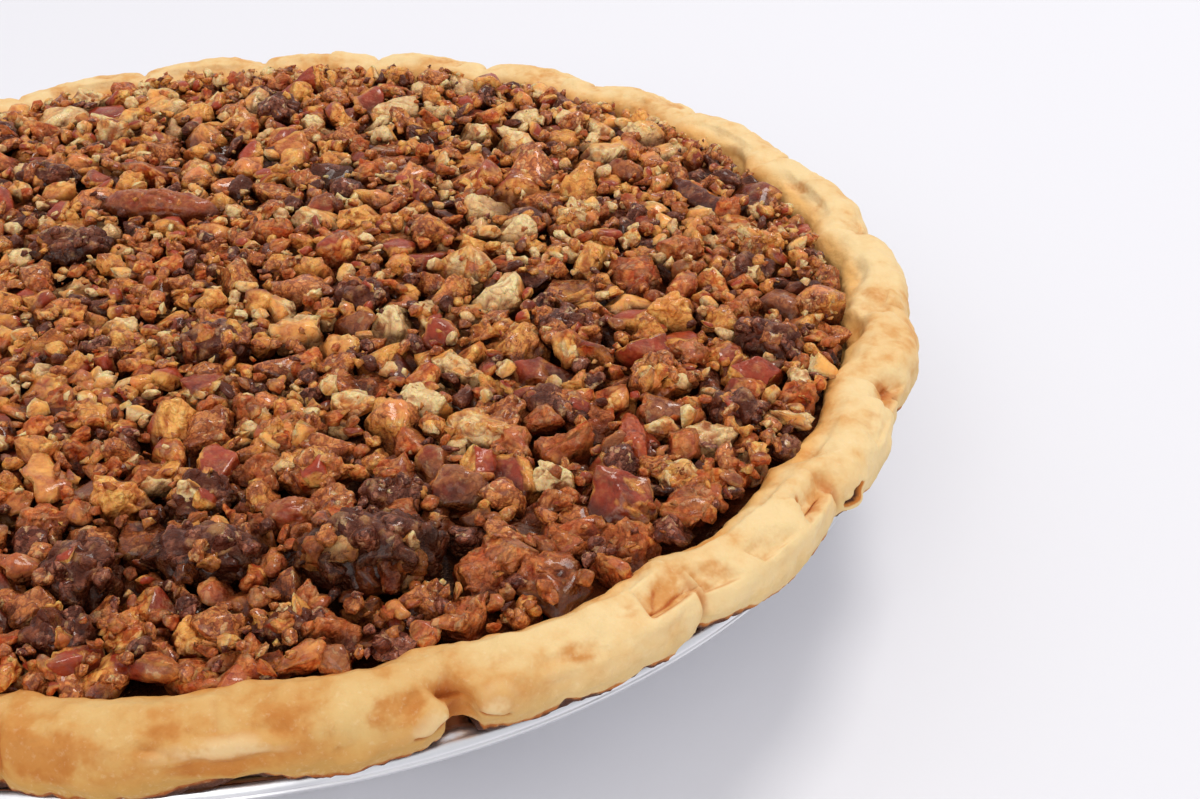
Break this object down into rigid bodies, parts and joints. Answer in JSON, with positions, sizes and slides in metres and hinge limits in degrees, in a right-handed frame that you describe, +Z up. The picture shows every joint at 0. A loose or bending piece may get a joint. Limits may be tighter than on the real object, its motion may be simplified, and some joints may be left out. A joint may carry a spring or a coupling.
{
  "type": "pecan pie",
  "caption": "Round pecan pie in its foil tin: rolled, fluted crust rim and a caramel filling heaped with chopped and whole pecan pieces.",
  "frame": {"origin": "on the table, under the middle of the tin", "axes": "+Z up; the pictured side faces -Y, turned 14 degrees towards -X"},
  "size_m": [0.2368, 0.2334, 0.0481],
  "materials": {
    "foil": "bright rolled foil",
    "crust": "dry baked pastry, pale gold with browner patches",
    "filling": "dark glossy caramel set with chopped nuts",
    "pecan_skin": "red-brown pecan skin, satin",
    "nut_meat": "cream to golden nut meat",
    "caramel_clump": "nut clump coated in dark sticky caramel",
    "sugared_nut": "nut coated in tan sugar",
    "dark_skin": "maroon pecan skin, satin"
  },
  "bodies": {
    "root": {"tin": "foil", "crust": "crust", "filling": "filling", "half_1": "pecan_skin", "half_2": "pecan_skin", "half_3": "pecan_skin", "half_4": "pecan_skin", "half_5": "pecan_skin", "skin_1": "pecan_skin", "skin_2": "pecan_skin", "skin_3": "pecan_skin", "skin_4": "pecan_skin", "skin_5": "pecan_skin", "skin_6": "pecan_skin", "skin_7": "pecan_skin", "skin_8": "pecan_skin", "skin_9": "pecan_skin", "skin_10": "pecan_skin", "skin_11": "pecan_skin", "skin_12": "pecan_skin", "skin_13": "pecan_skin", "meat_1": "nut_meat", "meat_2": "nut_meat", "meat_3": "nut_meat", "meat_4": "nut_meat", "meat_5": "nut_meat", "meat_6": "nut_meat", "meat_7": "nut_meat", "meat_8": "nut_meat", "cluster_1": "caramel_clump", "cluster_2": "caramel_clump", "cluster_3": "caramel_clump", "cluster_4": "caramel_clump", "cluster_5": "caramel_clump", "cluster_6": "caramel_clump", "cluster_7": "caramel_clump", "cluster_8": "caramel_clump", "cluster_9": "caramel_clump", "cluster_10": "caramel_clump", "cluster_11": "caramel_clump", "cluster_12": "caramel_clump", "cluster_13": "caramel_clump", "cluster_14": "caramel_clump", "cluster_15": "caramel_clump", "cluster_16": "caramel_clump", "cluster_17": "caramel_clump", "cluster_18": "caramel_clump", "cluster_19": "caramel_clump", "cluster_20": "caramel_clump", "crumb_1": "sugared_nut", "crumb_2": "sugared_nut", "crumb_3": "sugared_nut", "crumb_4": "sugared_nut", "crumb_5": "sugared_nut", "crumb_6": "sugared_nut", "crumb_7": "sugared_nut", "shell_1": "dark_skin", "shell_2": "dark_skin", "shell_3": "dark_skin", "shell_4": "dark_skin"}
  },
  "joints": []
}
